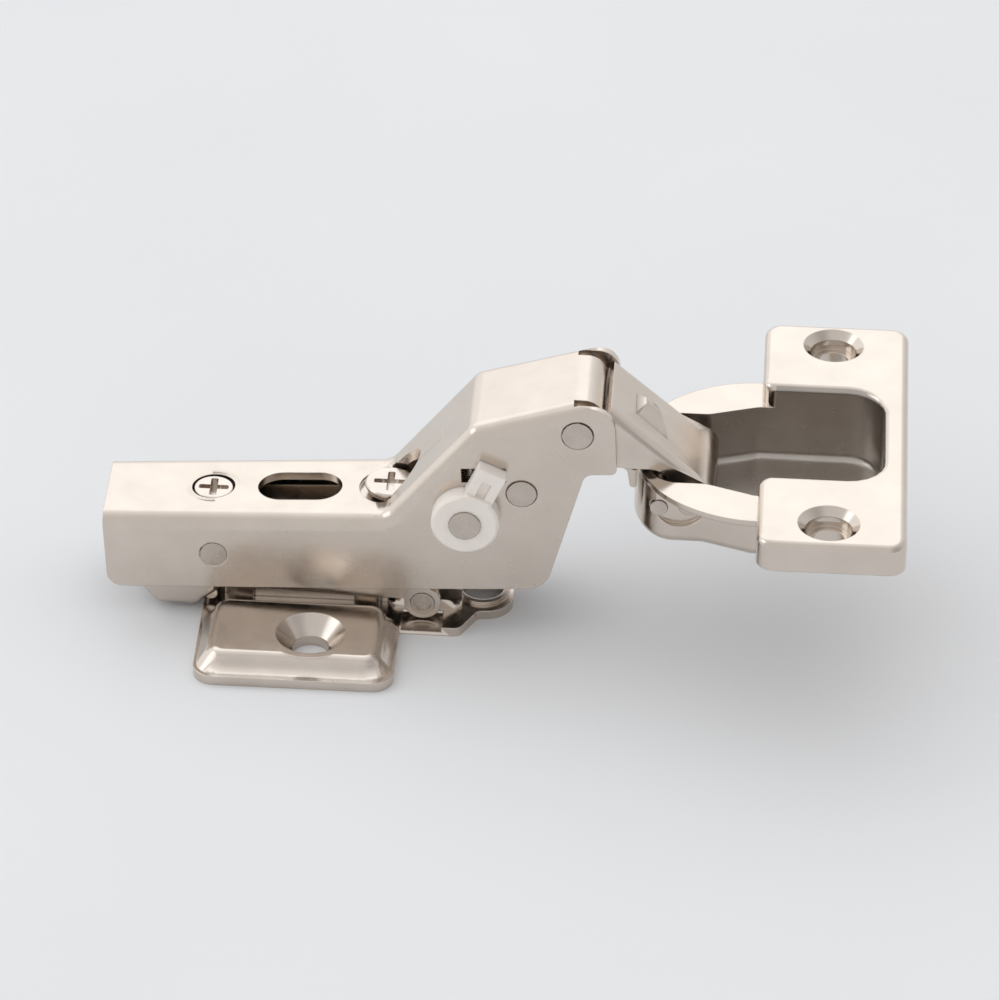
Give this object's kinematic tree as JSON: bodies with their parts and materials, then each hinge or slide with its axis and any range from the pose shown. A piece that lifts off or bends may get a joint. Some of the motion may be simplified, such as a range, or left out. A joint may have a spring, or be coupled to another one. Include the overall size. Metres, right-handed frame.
{
  "type": "concealed cabinet hinge",
  "caption": "Clip-on concealed hinge: cranked arm on a mounting plate, with a drilled-in cup carried by two links, open.",
  "frame": {"origin": "middle of the mounting plate's bottom face, where it meets the cabinet side", "axes": "+X along the arm towards the cup, +Y across, +Z out of the cabinet side"},
  "size_m": [0.112, 0.056, 0.038],
  "materials": {
    "stamped_nickel": "satin nickel plate",
    "pin_steel": "satin",
    "screw_steel": "satin nickel plate",
    "spring_steel": "dark satin",
    "nylon": "matt"
  },
  "bodies": {
    "base": {"base_plate": "stamped_nickel", "adapter": "stamped_nickel", "hook_pin": "pin_steel", "lever_pin": "pin_steel"},
    "release_lever": {"release_lever": "stamped_nickel"},
    "fixing_screw": {"fixing_screw": "screw_steel"},
    "foot": {"foot_retainer": "pin_steel"},
    "adjusting_screw": {"adjusting_screw": "screw_steel"},
    "arm": {"arm": "stamped_nickel", "guide_rivet": "pin_steel", "outer_link_pin": "pin_steel", "inner_link_pin": "pin_steel", "link_spacer_front": "pin_steel", "link_spacer_back": "pin_steel", "spring_axle": "pin_steel", "nylon_collar_front": "nylon", "nylon_collar_back": "nylon", "torsion_spring_front": "spring_steel", "torsion_spring_back": "spring_steel"},
    "outer_link": {"outer_link": "stamped_nickel"},
    "cup": {"cup": "stamped_nickel", "cup_outer_pin": "pin_steel", "cup_inner_pin": "pin_steel"},
    "inner_link": {"inner_link": "stamped_nickel"}
  },
  "joints": [
    {"name": "lever_release", "type": "hinge", "parent": "base", "child": "release_lever", "pos_m": [-0.0155, 0, 0.0072], "axis": [0, 1, 0], "range_deg": [0, 20], "stiffness_Nm_per_rad": 0.02},
    {"name": "fixing_screw_turn", "type": "hinge", "parent": "base", "child": "fixing_screw", "pos_m": [0.012, 0, 0.0143], "axis": [0, 0, 1], "continuous": true},
    {"name": "depth_adjustment", "type": "slide", "parent": "base", "child": "foot", "axis": [1, 0, 0], "range_m": [-0.0025, 0.0005]},
    {"name": "side_adjustment", "type": "hinge", "parent": "foot", "child": "arm", "pos_m": [0.012, 0, 0.0164], "axis": [0, 1, 0], "range_deg": [-0.5, 1.8]},
    {"name": "adjusting_screw_turn", "type": "hinge", "parent": "foot", "child": "adjusting_screw", "pos_m": [-0.013, 0, 0.016], "axis": [0, 0, 1], "range_deg": [-80, 285]},
    {"name": "outer_link_pivot", "type": "hinge", "parent": "arm", "child": "outer_link", "pos_m": [0.03835, 0, 0.0338], "axis": [0, -1, 0], "range_deg": [-32.85, 0]},
    {"name": "door_swing", "type": "hinge", "parent": "outer_link", "child": "cup", "pos_m": [0.0541, 0, 0.0235], "axis": [0, -1, 0], "range_deg": [0, 125.8]},
    {"name": "inner_link_pivot", "type": "hinge", "parent": "cup", "child": "inner_link", "pos_m": [0.0499, 0, 0.0231], "axis": [0, -1, 0], "range_deg": [-126.85, 0]}
  ],
  "couplings": [
    {"joint": "outer_link_pivot", "follows": "door_swing", "ratio": -0.26073},
    {"joint": "inner_link_pivot", "follows": "door_swing", "ratio": -1.0079},
    {"joint": "adjusting_screw_turn", "follows": "side_adjustment", "ratio": 157}
  ]
}
